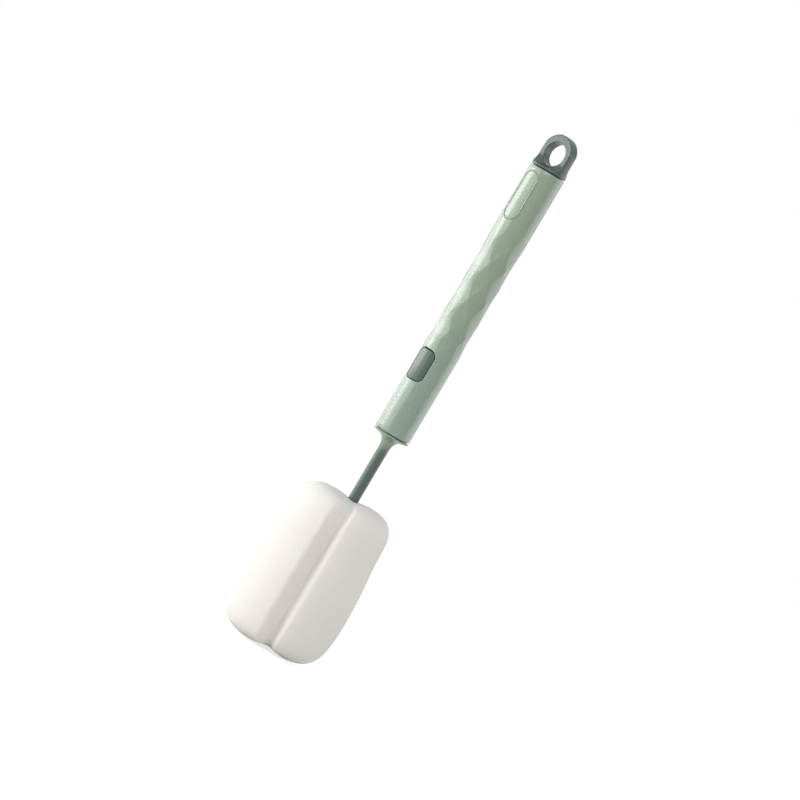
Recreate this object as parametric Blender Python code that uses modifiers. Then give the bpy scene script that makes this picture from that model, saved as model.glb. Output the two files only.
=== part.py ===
# Rotating bottle brush: a four-lobed foam head on a slim stem, turned by a thumb button in the handle.
# Metres, +Z from the head to the hanging loop, origin in the middle of the head's flat end, button at -Y.
import math

import bmesh
import bpy
from mathutils import Matrix, Vector

MM = 0.001
OVER = 1.0 * MM

# Fits: the running clearance round every piece
RUN = 0.3 * MM

# Foam head
HEAD_DIAMETER = 52.0 * MM
HEAD_LENGTH = 79.0 * MM
HEAD_TOP_ROUND = 9.0 * MM
HEAD_END_ROUND = 8.0 * MM
GROOVE_OPENING = 9.0 * MM
GROOVE_ROOT_RADIUS = 14.0 * MM
CREST_ROUND = 3.0 * MM
LOBES = 4

# Core inside the foam
CORE_DIAMETER = 9.0 * MM
CORE_LENGTH = 64.0 * MM
CORE_TOP_COVER = 4.0 * MM
BARB_DIAMETER = 15.0 * MM
BARB_PITCH = 11.0 * MM
BARB_BACK = 1.5 * MM
BARB_LAND = 1.0 * MM
BARB_TAPER = 4.8 * MM
BARBS = 4
CORE_PIN_DEPTH = 8.0 * MM
CORE_NOSE = 3.0 * MM
CORE_TIP_DIAMETER = 5.4 * MM

# Stem
STEM_DIAMETER = 5.2 * MM
STEM_SHOWN = 26.0 * MM
STEM_IN_CORE = 45.0 * MM
FLARE_LENGTH = 7.6 * MM
FLARE_RIM = 0.7 * MM
JOURNAL_END = 1.5 * MM
SOCKET_FLOOR_HEIGHT = 2.0 * MM
STEM_PIN_HEIGHT = 5.4 * MM
PIN_DIAMETER = 1.2 * MM

# Handle housing
SEAM = 0.6 * MM
HANDLE_DIAMETER = 17.5 * MM
HANDLE_LENGTH = 138.6 * MM
HANDLE_WALL = 1.8 * MM
REAR_WALL = 2.5 * MM
FACET_START = 44.6 * MM
FACET_HALF_PITCH = 8.97 * MM
FACET_ROWS = 7
FACET_COLUMNS = 12
FACET_SETBACK = 0.03 * MM
FACET_RUNOUT = 1.6 * MM
PANEL_MARGIN = 2.3 * MM
PANEL_LENGTH = 25.5 * MM
PANEL_WIDTH = 9.3 * MM
PANEL_LINE = 0.7 * MM
PANEL_RELIEF = 0.25 * MM

# Hanging cap
CAP_SEAM = 0.3 * MM
CAP_LIP = 1.1 * MM
CAP_HEIGHT = 17.9 * MM
LOOP_THICKNESS = 4.3 * MM
LOOP_HOLE = 11.8 * MM
LOOP_HOLE_HEIGHT = 8.2 * MM
SHOULDER_RADIUS = 4.4 * MM
PLUG_LENGTH = 9.0 * MM
PLUG_WALL = 1.5 * MM
PLUG_ROOF = 2.0 * MM

# Bearing at the front of the handle
WASHER_THICKNESS = 0.7 * MM
BUSH_LENGTH = 6.6 * MM
BUSH_WALL = 1.6 * MM
CLIP_THICKNESS = 0.8 * MM
CLIP_GRIP = 0.6 * MM
CLIP_OPENING = 4.0 * MM

# Drive cartridge
CARTRIDGE_GAP = 0.4 * MM
CARTRIDGE_LENGTH = 60.2 * MM
CARTRIDGE_WALL = 1.0 * MM
FRONT_WALL = 4.2 * MM
BACK_WALL = 4.0 * MM
GUIDE_LEDGE = 0.4 * MM
SCREW_INSET = 1.75 * MM
SCREW_SHANK = 1.1 * MM
SCREW_HEAD = 2.2 * MM
SCREW_HEAD_HEIGHT = 1.0 * MM
SCREW_LENGTH = 5.2 * MM
REAR_BUSH_WALL = 1.0 * MM
REAR_BUSH_LENGTH = 2.7 * MM

# Twisted spindle and nut
SPINDLE_LEAD = 9.6 * MM
STRIP_WIDTH = 4.0 * MM
STRIP_THICKNESS = 1.6 * MM
STRIP_LENGTH = 21.0 * MM
STRIP_SPARE = 2.2 * MM
SPINDLE_SHOULDER = 0.15 * MM
SPINDLE_REAR_DIAMETER = 3.2 * MM
COLLAR_DIAMETER = 6.8 * MM
COLLAR_LENGTH = 1.2 * MM
NUT_WALL = 0.65 * MM
NUT_SLOT = 4.0 * MM
NUT_NOSE = 1.7 * MM
WEDGE_SLOPE = 2.0

# Thumb button
BUTTON_HEIGHT = 34.3 * MM
BUTTON_LENGTH = 15.4 * MM
BUTTON_WIDTH = 9.0 * MM
BUTTON_CORNER = 3.0 * MM
BUTTON_PROUD = 0.15 * MM
BUTTON_SKIN = 1.5 * MM
BUTTON_RIM = 1.2 * MM
BUTTON_GAP = 0.4 * MM
BUTTON_TRAVEL = 2.4 * MM
LIP_REACH = 1.9 * MM
LIP_THICKNESS = 0.8 * MM
LIP_WIDTH = 4.8 * MM
LEG_TIP = 1.0 * MM
LEG_DROP = 1.8 * MM

# Return spring
SPRING_WIRE = 0.5 * MM
SPRING_TURNS = 8
SPRING_POINTS = 8

# Heights worked out from the sizes above
HEAD_TOP = HEAD_LENGTH
FLARE_START = HEAD_TOP + STEM_SHOWN
FLARE_TOP = FLARE_START + FLARE_LENGTH
HANDLE_BOTTOM = FLARE_TOP + SEAM
HANDLE_TOP = HANDLE_BOTTOM + HANDLE_LENGTH
CAP_BOTTOM = HANDLE_TOP + CAP_SEAM
CAP_TOP = CAP_BOTTOM + CAP_HEIGHT
LOOP_CENTRE = CAP_BOTTOM + LOOP_HOLE_HEIGHT
CORE_TOP = HEAD_TOP - CORE_TOP_COVER
CORE_END = CORE_TOP - CORE_LENGTH
CORE_PIN_Z = CORE_TOP - CORE_PIN_DEPTH
STEM_END = CORE_TOP - STEM_IN_CORE
SOCKET_FLOOR = FLARE_TOP + SOCKET_FLOOR_HEIGHT
STEM_PIN_Z = FLARE_TOP + STEM_PIN_HEIGHT
WASHER_BOTTOM = FLARE_TOP + RUN
WASHER_TOP = WASHER_BOTTOM + WASHER_THICKNESS
BUSH_BOTTOM = WASHER_TOP + RUN
BUSH_TOP = BUSH_BOTTOM + BUSH_LENGTH
CLIP_BOTTOM = BUSH_TOP + RUN
CLIP_TOP = CLIP_BOTTOM + CLIP_THICKNESS
JOURNAL_TOP = CLIP_TOP + RUN + JOURNAL_END
CARTRIDGE_BOTTOM = JOURNAL_TOP + CARTRIDGE_GAP
CARTRIDGE_TOP = CARTRIDGE_BOTTOM + CARTRIDGE_LENGTH
CAVITY_BOTTOM = CARTRIDGE_BOTTOM + FRONT_WALL
CAVITY_TOP = CARTRIDGE_TOP - BACK_WALL
REAR_BUSH_TOP = CARTRIDGE_TOP - RUN
REAR_BUSH_BOTTOM = REAR_BUSH_TOP - REAR_BUSH_LENGTH
COLLAR_BOTTOM = CAVITY_BOTTOM + RUN
PANEL_Z = HANDLE_TOP - PANEL_MARGIN - PANEL_LENGTH / 2
BUTTON_Z = HANDLE_BOTTOM + BUTTON_HEIGHT
BUTTON_LOW = BUTTON_Z - BUTTON_LENGTH / 2
BUTTON_HIGH = BUTTON_Z + BUTTON_LENGTH / 2
LEG_BOTTOM = BUTTON_LOW - LEG_DROP
NUT_TRAVEL = BUTTON_TRAVEL * WEDGE_SLOPE
NUT_TOP = BUTTON_HIGH - NUT_TRAVEL - BUTTON_GAP
STRIP_TOP = NUT_TOP + NUT_TRAVEL + STRIP_SPARE
STRIP_BOTTOM = STRIP_TOP - STRIP_LENGTH
TURN_ANGLE = math.tau * NUT_TRAVEL / SPINDLE_LEAD

# Radii worked out from the sizes above
HEAD_RADIUS = HEAD_DIAMETER / 2
STEM_RADIUS = STEM_DIAMETER / 2
HANDLE_RADIUS = HANDLE_DIAMETER / 2
BORE_RADIUS = HANDLE_RADIUS - HANDLE_WALL
REAR_BORE_RADIUS = HANDLE_RADIUS - REAR_WALL
BUSH_RADIUS = BORE_RADIUS - RUN
BUSH_BORE_RADIUS = BUSH_RADIUS - BUSH_WALL
JOURNAL_RADIUS = BUSH_BORE_RADIUS - RUN
CARTRIDGE_RADIUS = BORE_RADIUS - RUN
CAVITY_RADIUS = CARTRIDGE_RADIUS - CARTRIDGE_WALL
GUIDE_HALF = CAVITY_RADIUS - GUIDE_LEDGE
SCREW_OFFSET = CARTRIDGE_RADIUS - SCREW_INSET
STRIP_RADIUS = math.hypot(STRIP_WIDTH, STRIP_THICKNESS) / 2
SPINDLE_FRONT_RADIUS = STRIP_RADIUS + SPINDLE_SHOULDER
SPINDLE_REAR_RADIUS = SPINDLE_REAR_DIAMETER / 2
NUT_HALF = STRIP_RADIUS + RUN + NUT_WALL
SPRING_RADIUS = STRIP_RADIUS + 1.5 * RUN + SPRING_WIRE / 2
PIN_HOLE_RADIUS = PIN_DIAMETER / 2 + RUN
BUTTON_INNER = NUT_HALF + BUTTON_TRAVEL + RUN
LEG_INNER = STRIP_RADIUS + 2 * RUN
ROUND_STEPS = 40
SMALL_STEPS = 20
TWIST_STEPS = 24
EDGE_STEPS = 5


def linear(channel):
    return channel / 12.92 if channel <= 0.04045 else ((channel + 0.055) / 1.055) ** 2.4


def material(name, hex_colour, roughness, metallic=0.0):
    made = bpy.data.materials.new(name)
    made.use_nodes = True
    shader = made.node_tree.nodes["Principled BSDF"]
    channels = [linear(int(hex_colour[place:place + 2], 16) / 255) for place in (0, 2, 4)]
    shader.inputs["Base Color"].default_value = (*channels, 1.0)
    shader.inputs["Roughness"].default_value = roughness
    shader.inputs["Metallic"].default_value = metallic
    made.diffuse_color = (*channels, 1.0)
    return made


def link(name, mesh):
    made = bpy.data.objects.new(name, mesh)
    parts.objects.link(made)
    return made


def axis_empty(name, position):
    made = bpy.data.objects.new(name, None)
    made.location = position
    made.empty_display_size = STEM_DIAMETER
    parts.objects.link(made)
    return made


def finish(made, look, carrier, angle=40):
    made.data.materials.clear()
    made.data.materials.append(look)
    made.data.shade_smooth()
    made.data.set_sharp_from_angle(angle=math.radians(angle))
    made.parent = carrier
    made.matrix_parent_inverse = Matrix.Translation(-carrier.location)
    return made


def as_cutter(made):
    parts.objects.unlink(made)
    cutters.objects.link(made)
    made.hide_render = True
    made.display_type = "WIRE"
    return made


def combine(target, tool, operation):
    step = target.modifiers.new(f"{operation.lower()} {tool.name}", "BOOLEAN")
    step.operation = operation
    step.object = as_cutter(tool) if tool.name not in cutters.objects else tool
    step.solver = "EXACT"
    return target


def cut(target, *tools):
    for tool in tools:
        combine(target, tool, "DIFFERENCE")


def join(target, *tools):
    for tool in tools:
        combine(target, tool, "UNION")


def keep_inside(target, tool):
    combine(target, tool, "INTERSECT")


# A turned piece: (radius, height) points down the outer side, and up the inner side where it has a bore
def turned(name, profile, steps=ROUND_STEPS, closed=False):
    mesh = bpy.data.meshes.new(name)
    corners = [(radius, 0.0, height) for radius, height in profile]
    edges = [(spot, spot + 1) for spot in range(len(profile) - 1)]
    if closed:
        edges.append((len(profile) - 1, 0))
    mesh.from_pydata(corners, edges, [])
    made = link(name, mesh)
    turn = made.modifiers.new("turn", "SCREW")
    turn.axis = "Z"
    turn.angle = math.tau
    turn.steps = steps
    turn.render_steps = steps
    turn.use_merge_vertices = True
    turn.merge_threshold = 0.00001
    return made


def ring(name, outer, inner, bottom, top, steps=ROUND_STEPS):
    return turned(name, [(outer, top), (outer, bottom), (inner, bottom), (inner, top)], steps, closed=True)


# A plain round bar between two points
def bar(name, radius, start, end, steps=SMALL_STEPS):
    start = Vector(start)
    run = Vector(end) - start
    shape = bmesh.new()
    bmesh.ops.create_cone(
        shape, cap_ends=True, segments=steps, radius1=radius, radius2=radius, depth=run.length)
    turn = run.to_track_quat("Z", "Y").to_matrix().to_4x4()
    shape.transform(Matrix.Translation(start + run / 2) @ turn)
    mesh = bpy.data.meshes.new(name)
    shape.to_mesh(mesh)
    shape.free()
    return link(name, mesh)


# A rectangular block between two opposite corners
def block(name, low, high):
    low = Vector(low)
    high = Vector(high)
    shape = bmesh.new()
    bmesh.ops.create_cube(shape, size=1.0)
    shape.transform(Matrix.Translation((low + high) / 2) @ Matrix.Diagonal((*(high - low), 1.0)))
    mesh = bpy.data.meshes.new(name)
    shape.to_mesh(mesh)
    shape.free()
    return link(name, mesh)


# A flat outline given thickness: its points lie in the plane of the first two axes of the placing matrix
def plate(name, outline, thickness, placing):
    curve = bpy.data.curves.new(name, "CURVE")
    curve.dimensions = "2D"
    curve.fill_mode = "BOTH"
    curve.extrude = thickness / 2
    line = curve.splines.new("POLY")
    line.points.add(len(outline) - 1)
    for point, (across, along) in zip(line.points, outline):
        point.co = (across, along, 0.0, 1.0)
    line.use_cyclic_u = True
    return solid_curve(name, curve, placing)


# A round wire along its points
def wire(name, points, radius, resolution, cyclic=False):
    curve = bpy.data.curves.new(name, "CURVE")
    curve.dimensions = "3D"
    curve.bevel_depth = radius
    curve.bevel_resolution = resolution
    curve.use_fill_caps = not cyclic
    line = curve.splines.new("POLY")
    line.points.add(len(points) - 1)
    for point, place in zip(line.points, points):
        point.co = (*place, 1.0)
    line.use_cyclic_u = cyclic
    return solid_curve(name, curve, Matrix.Identity(4))


def solid_curve(name, curve, placing):
    guide = link(f"{name} guide", curve)
    guide.matrix_world = placing
    bpy.context.view_layer.update()
    mesh = bpy.data.meshes.new_from_object(guide.evaluated_get(bpy.context.evaluated_depsgraph_get()))
    mesh.transform(placing)
    bpy.data.objects.remove(guide)
    shape = bmesh.new()
    shape.from_mesh(mesh)
    bmesh.ops.remove_doubles(shape, verts=shape.verts, dist=0.000005)
    bmesh.ops.recalc_face_normals(shape, faces=shape.faces)
    shape.to_mesh(mesh)
    shape.free()
    return link(name, mesh)


def arc(centre, radius, start, end, count):
    angles = [start + (end - start) * step / count for step in range(count + 1)]
    return [(centre[0] + radius * math.cos(angle), centre[1] + radius * math.sin(angle)) for angle in angles]


def rounded_outline(width, height, corner, count=5):
    across = width / 2 - corner
    along = height / 2 - corner
    quarter = math.pi / 2
    outline = []
    for turn, centre in enumerate(((across, along), (-across, along), (-across, -along), (across, -along))):
        outline += arc(centre, corner, turn * quarter, (turn + 1) * quarter, count)
    return outline


# Outline planes seen from the button's side: X across and Z up, and Y across and Z up
def facing_button(height=0.0, depth=0.0):
    return Matrix(((1, 0, 0, 0), (0, 0, -1, depth), (0, 1, 0, height), (0, 0, 0, 1)))


def side_view(offset=0.0):
    return Matrix(((0, 0, 1, offset), (1, 0, 0, 0), (0, 1, 0, 0), (0, 0, 0, 1)))


# Half a lobe in plan, from the groove's root over its long edge to the middle of the crest
def half_lobe(radius):
    half = GROOVE_OPENING / 2
    mouth = math.sqrt(HEAD_RADIUS ** 2 - half ** 2)
    start = Vector((GROOVE_ROOT_RADIUS, 0.0))
    along = (Vector((mouth, half)) - start).normalized()
    inward = Vector((-along.y, along.x))
    base = start + inward * CREST_ROUND
    reach = radius - CREST_ROUND
    lead = base.dot(along)
    distance = -lead + math.sqrt(lead ** 2 - base.length_squared + reach ** 2)
    centre = base + along * distance
    first = math.atan2(-inward.y, -inward.x)
    last = math.atan2(centre.y, centre.x)
    points = [tuple(start)]
    tangent = centre - inward * CREST_ROUND
    for share in (1 / 3, 2 / 3):
        points.append(tuple(start.lerp(tangent, share)))
    points += arc(centre, CREST_ROUND, first, last, 3)
    points += arc((0.0, 0.0), radius, last, math.pi / LOBES, 3)[1:]
    return points


def lobed_outline(radius):
    half = half_lobe(radius)
    mirrored = [(across, -along) for across, along in reversed(half[1:-1])]
    outline = []
    for lobe in range(LOBES):
        turn = math.tau * (lobe + 0.5) / LOBES
        outline += [turned_point(across, along, turn) for across, along in half]
        outline += [turned_point(across, along, turn + math.tau / LOBES) for across, along in mirrored]
    return outline


def turned_point(across, along, turn):
    return (
        across * math.cos(turn) - along * math.sin(turn),
        across * math.sin(turn) + along * math.cos(turn))


# A closed skin over level outlines that all have the same number of points
def lofted(name, levels):
    shape = bmesh.new()
    rings = []
    for height, outline in levels:
        rings.append([shape.verts.new((across, along, height)) for across, along in outline])
    for lower, upper in zip(rings, rings[1:]):
        for spot in range(len(lower)):
            after = (spot + 1) % len(lower)
            shape.faces.new((lower[spot], lower[after], upper[after], upper[spot]))
    shape.faces.new(reversed(rings[0]))
    shape.faces.new(rings[-1])
    mesh = bpy.data.meshes.new(name)
    shape.to_mesh(mesh)
    shape.free()
    return link(name, mesh)


# Core of the head: a plug whose barbs hold the foam, grown by a clearance where it shapes the foam's pocket
def core_profile(growth):
    hub = CORE_DIAMETER / 2 + growth
    barb = BARB_DIAMETER / 2 + growth
    points = [(0.0, CORE_TOP + growth), (hub, CORE_TOP + growth)]
    for index in range(BARBS):
        edge = CORE_TOP - (index + 1) * BARB_PITCH
        points.append((hub, edge + BARB_BACK + growth))
        points.append((barb, edge + growth))
        points.append((barb, edge - BARB_LAND - growth))
        points.append((hub, edge - BARB_LAND - BARB_TAPER - growth))
    points.append((hub, CORE_END + CORE_NOSE))
    points.append((CORE_TIP_DIAMETER / 2 + growth, CORE_END - growth))
    points.append((0.0, CORE_END - growth))
    return points


def make_foam_head():
    levels = []
    for step in range(EDGE_STEPS + 1):
        swing = math.pi / 2 * step / EDGE_STEPS
        inset = HEAD_END_ROUND * (1 - math.sin(swing))
        levels.append((HEAD_END_ROUND * (1 - math.cos(swing)), inset))
    for step in range(EDGE_STEPS + 1):
        swing = math.pi / 2 * step / EDGE_STEPS
        inset = HEAD_TOP_ROUND * (1 - math.cos(swing))
        levels.append((HEAD_LENGTH - HEAD_TOP_ROUND * (1 - math.sin(swing)), inset))
    foam = lofted("sponge", [(height, lobed_outline(HEAD_RADIUS - inset)) for height, inset in levels])
    cut(foam, turned("core pocket", core_profile(RUN), SMALL_STEPS))
    cut(foam, bar("stem pocket", STEM_RADIUS + RUN, (0, 0, CORE_TOP), (0, 0, HEAD_TOP + OVER)))
    return foam


def make_core():
    core = turned("sponge_core", core_profile(0.0), SMALL_STEPS)
    cut(core, bar("core socket", STEM_RADIUS + RUN, (0, 0, STEM_END - RUN), (0, 0, CORE_TOP + OVER)))
    cut(core, cross_hole("core pin hole", CORE_DIAMETER, CORE_PIN_Z))
    return core


# Stem: rod, trumpet flare and bearing journal in one moulding
def make_stem():
    flare = []
    count = 8
    for step in range(count + 1):
        swing = math.pi / 2 * step / count
        radius = HANDLE_RADIUS - (HANDLE_RADIUS - STEM_RADIUS) * math.sin(swing)
        height = FLARE_TOP - FLARE_RIM - (FLARE_LENGTH - FLARE_RIM) * (1 - math.cos(swing))
        flare.append((radius, height))
    groove = JOURNAL_RADIUS - CLIP_GRIP
    socket = SPINDLE_FRONT_RADIUS + RUN
    stem = turned("stem", [
        (0.0, SOCKET_FLOOR), (socket, SOCKET_FLOOR), (socket, JOURNAL_TOP), (JOURNAL_RADIUS, JOURNAL_TOP),
        (JOURNAL_RADIUS, CLIP_TOP + RUN), (groove, CLIP_TOP + RUN), (groove, CLIP_BOTTOM - RUN),
        (JOURNAL_RADIUS, CLIP_BOTTOM - RUN), (JOURNAL_RADIUS, FLARE_TOP), (HANDLE_RADIUS, FLARE_TOP), *flare,
        (STEM_RADIUS, STEM_END), (0.0, STEM_END)])
    cut(stem, cross_hole("journal pin hole", HANDLE_RADIUS, STEM_PIN_Z))
    cut(stem, cross_hole("stem foot hole", STEM_DIAMETER, CORE_PIN_Z))
    return stem


def cross_hole(name, reach, height):
    return bar(name, PIN_HOLE_RADIUS, (-reach, 0, height), (reach, 0, height), 12)


def make_pin(name, half_length, height):
    return bar(name, PIN_DIAMETER / 2, (-half_length, 0, height), (half_length, 0, height), 12)


def make_clip():
    outer = (BORE_RADIUS + JOURNAL_RADIUS) / 2
    clip = ring("retaining_clip", outer, JOURNAL_RADIUS - CLIP_GRIP + RUN, CLIP_BOTTOM, CLIP_TOP, 32)
    half = CLIP_OPENING / 2
    cut(clip, block("clip opening", (-half, 0, CLIP_BOTTOM - OVER), (half, HANDLE_RADIUS, CLIP_TOP + OVER)))
    return clip


# A lattice of flats: peaks on the round of the handle, every second row turned by one column
def facet_lattice():
    peak = HANDLE_RADIUS - FACET_SETBACK
    column = math.tau / FACET_COLUMNS
    flat = peak * (1 + math.cos(column)) / 2
    outside = HANDLE_RADIUS + FACET_RUNOUT
    bottom = HANDLE_BOTTOM + FACET_START
    shape = bmesh.new()
    levels = [[outside] * FACET_COLUMNS, [outside] * FACET_COLUMNS]
    heights = [HANDLE_BOTTOM - OVER, bottom - FACET_HALF_PITCH]
    for row in range(FACET_ROWS):
        levels.append([peak if (row + spot) % 2 == 0 else flat for spot in range(FACET_COLUMNS)])
        heights.append(bottom + row * FACET_HALF_PITCH)
    levels += [[outside] * FACET_COLUMNS, [outside] * FACET_COLUMNS]
    heights += [bottom + FACET_ROWS * FACET_HALF_PITCH, HANDLE_TOP + OVER]
    rings = []
    for height, radii in zip(heights, levels):
        ring_points = []
        for spot, radius in enumerate(radii):
            angle = -math.pi / 2 + spot * column
            ring_points.append(shape.verts.new((radius * math.cos(angle), radius * math.sin(angle), height)))
        rings.append(ring_points)
    for row, (lower, upper) in enumerate(zip(rings, rings[1:])):
        for spot in range(FACET_COLUMNS):
            after = (spot + 1) % FACET_COLUMNS
            if (row + spot) % 2 == 0:
                shape.faces.new((lower[spot], lower[after], upper[after]))
                shape.faces.new((lower[spot], upper[after], upper[spot]))
            else:
                shape.faces.new((lower[spot], lower[after], upper[spot]))
                shape.faces.new((lower[after], upper[after], upper[spot]))
    shape.faces.new(reversed(rings[0]))
    shape.faces.new(rings[-1])
    mesh = bpy.data.meshes.new("facet lattice")
    shape.to_mesh(mesh)
    shape.free()
    return link("facet lattice", mesh)


# The raised stadium line that frames the bare panel near the top of the handle
def panel_line():
    half = PANEL_WIDTH / 2 - PANEL_LINE / 2
    straight = PANEL_LENGTH / 2 - PANEL_WIDTH / 2
    flat = arc((0.0, straight), half, 0.0, math.pi, 10) + arc((0.0, -straight), half, math.pi, math.tau, 10)
    lift = HANDLE_RADIUS + PANEL_RELIEF - PANEL_LINE / 2
    points = []
    for across, along in flat:
        angle = across / HANDLE_RADIUS
        points.append((lift * math.sin(angle), -lift * math.cos(angle), PANEL_Z + along))
    return wire("panel line", points, PANEL_LINE / 2, 1, cyclic=True)


def make_handle_shell():
    step = CARTRIDGE_TOP + RUN
    profile = [
        (HANDLE_RADIUS, HANDLE_TOP), (HANDLE_RADIUS, HANDLE_BOTTOM), (BORE_RADIUS, HANDLE_BOTTOM),
        (BORE_RADIUS, step), (REAR_BORE_RADIUS, step), (REAR_BORE_RADIUS, HANDLE_TOP)]
    shell = turned("handle_shell", profile, closed=True)
    keep_inside(shell, facet_lattice())
    join(shell, panel_line())
    width = BUTTON_WIDTH + 2 * BUTTON_GAP
    length = BUTTON_LENGTH + 2 * BUTTON_GAP
    outline = rounded_outline(width, length, BUTTON_CORNER + BUTTON_GAP)
    cut(shell, plate("window", outline, HANDLE_RADIUS, facing_button(BUTTON_Z, -HANDLE_RADIUS)))
    return shell


# Hanging cap: a plug, a lip and a flat loop that grows out of concave shoulders
def make_loop_cap():
    lip_top = CAP_BOTTOM + CAP_LIP
    plug_radius = REAR_BORE_RADIUS - RUN
    plug_inner = plug_radius - PLUG_WALL
    plug_end = CAP_BOTTOM - PLUG_LENGTH
    plug = turned("loop_cap", [
        (0.0, CAP_BOTTOM + CAP_LIP / 2), (plug_radius, CAP_BOTTOM + CAP_LIP / 2), (plug_radius, plug_end),
        (plug_inner, plug_end), (plug_inner, CAP_BOTTOM - PLUG_ROOF), (0.0, CAP_BOTTOM - PLUG_ROOF)])
    half = LOOP_THICKNESS / 2
    shoulder_centre = (half + SHOULDER_RADIUS, lip_top + SHOULDER_RADIUS)
    shoulder = arc(shoulder_centre, SHOULDER_RADIUS, -math.pi / 2, -math.pi, 6)
    reach = HANDLE_RADIUS + OVER
    right = [(reach, CAP_BOTTOM), (reach, lip_top), *shoulder, (half, CAP_TOP + OVER)]
    left = [(-across, height) for across, height in reversed(right)]
    loop = plate("loop section", right + left, 2 * HANDLE_DIAMETER, side_view())
    arch_centre = CAP_TOP - HANDLE_RADIUS
    arch = [(-HANDLE_RADIUS, CAP_BOTTOM), (HANDLE_RADIUS, CAP_BOTTOM)]
    arch += arc((0.0, arch_centre), HANDLE_RADIUS, 0.0, math.pi, 24)
    keep_inside(loop, plate("loop face", arch, 2 * HANDLE_DIAMETER, facing_button()))
    keep_inside(loop, bar("loop round", HANDLE_RADIUS, (0, 0, CAP_BOTTOM), (0, 0, CAP_TOP + OVER), ROUND_STEPS))
    join(plug, loop)
    cut(plug, bar("loop hole", LOOP_HOLE / 2, (0, -reach, LOOP_CENTRE), (0, reach, LOOP_CENTRE), 28))
    return plug


def screw_places():
    places = []
    for height in (CARTRIDGE_BOTTOM + FRONT_WALL / 2, CARTRIDGE_TOP - BACK_WALL / 2):
        for side in (-1, 1):
            places.append((side * SCREW_OFFSET, height))
    return places


# The whole cartridge before it is split along its length
def cartridge_body(name):
    body = bar(name, CARTRIDGE_RADIUS, (0, 0, CARTRIDGE_BOTTOM), (0, 0, CARTRIDGE_TOP), ROUND_STEPS)
    cavity = bar("cavity", CAVITY_RADIUS, (0, 0, CAVITY_BOTTOM), (0, 0, CAVITY_TOP), ROUND_STEPS)
    low = (-GUIDE_HALF, -CARTRIDGE_RADIUS, CAVITY_BOTTOM - OVER)
    keep_inside(cavity, block("cavity guides", low, (GUIDE_HALF, CARTRIDGE_RADIUS, CAVITY_TOP + OVER)))
    cut(body, cavity)
    front = SPINDLE_FRONT_RADIUS + RUN
    cut(body, bar("front bore", front, (0, 0, CARTRIDGE_BOTTOM - OVER), (0, 0, CAVITY_BOTTOM + OVER)))
    rear = SPINDLE_REAR_RADIUS + RUN
    cut(body, bar("rear bore", rear, (0, 0, CAVITY_TOP - OVER), (0, 0, CARTRIDGE_TOP)))
    seat = rear + REAR_BUSH_WALL + RUN
    cut(body, bar("bush seat", seat, (0, 0, REAR_BUSH_BOTTOM - RUN), (0, 0, CARTRIDGE_TOP + OVER)))
    side = BUTTON_WIDTH / 2 + BUTTON_GAP
    low = LEG_BOTTOM - BUTTON_GAP
    high = BUTTON_HIGH + LIP_REACH + BUTTON_GAP
    cut(body, block("cartridge window", (-side, -HANDLE_RADIUS, low), (side, -CAVITY_RADIUS / 2, high)))
    head = SCREW_HEAD / 2 + RUN
    shank = SCREW_SHANK / 2 + RUN
    seat_face = SCREW_LENGTH / 2 - SCREW_HEAD_HEIGHT - RUN
    for index, (offset, height) in enumerate(screw_places()):
        foot = (-SCREW_LENGTH / 2 - RUN, offset, height)
        seat_place = (seat_face, offset, height)
        outside = (HANDLE_RADIUS, offset, height)
        cut(body, bar(f"screw hole {index}", shank, foot, outside, 12))
        cut(body, bar(f"head pocket {index}", head, seat_place, outside, 16))
    return body


def make_cartridge(name, side):
    half = cartridge_body(name)
    inner = side * RUN / 2
    outer = side * HANDLE_RADIUS
    low = (min(inner, outer), -HANDLE_RADIUS, CARTRIDGE_BOTTOM - OVER)
    high = (max(inner, outer), HANDLE_RADIUS, CARTRIDGE_TOP + OVER)
    keep_inside(half, block(f"{name} side", low, high))
    return half


def make_screw(index, offset, height):
    half = SCREW_LENGTH / 2
    under_head = half - SCREW_HEAD_HEIGHT
    screw = turned(f"cartridge_screw_{index + 1}", [
        (0.0, half), (SCREW_HEAD / 2, half), (SCREW_HEAD / 2, under_head),
        (SCREW_SHANK / 2, under_head), (SCREW_SHANK / 2, -half), (0.0, -half)], 12)
    screw.matrix_world = Matrix.Translation((0, offset, height)) @ Matrix.Rotation(math.pi / 2, 4, "Y")
    return screw


# Twisted strip: a flat bar that makes one left-handed turn each lead
def twisted_strip(name, growth, bottom, top):
    steps = math.ceil((top - bottom) / (SPINDLE_LEAD / TWIST_STEPS))
    size = Matrix.Diagonal((STRIP_WIDTH + 2 * growth, STRIP_THICKNESS + 2 * growth, top - bottom, 1.0))
    shape = bmesh.new()
    bmesh.ops.create_cube(shape, size=1.0)
    shape.transform(Matrix.Translation((0, 0, (bottom + top) / 2)) @ size)
    upright = [edge for edge in shape.edges if abs(edge.verts[0].co.z - edge.verts[1].co.z) > OVER]
    bmesh.ops.subdivide_edges(shape, edges=upright, cuts=steps - 1, use_grid_fill=True)
    for corner in shape.verts:
        turn = -math.tau * (corner.co.z - STRIP_BOTTOM) / SPINDLE_LEAD
        corner.co = Matrix.Rotation(turn, 3, "Z") @ corner.co
    mesh = bpy.data.meshes.new(name)
    shape.to_mesh(mesh)
    shape.free()
    return link(name, mesh)


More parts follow.
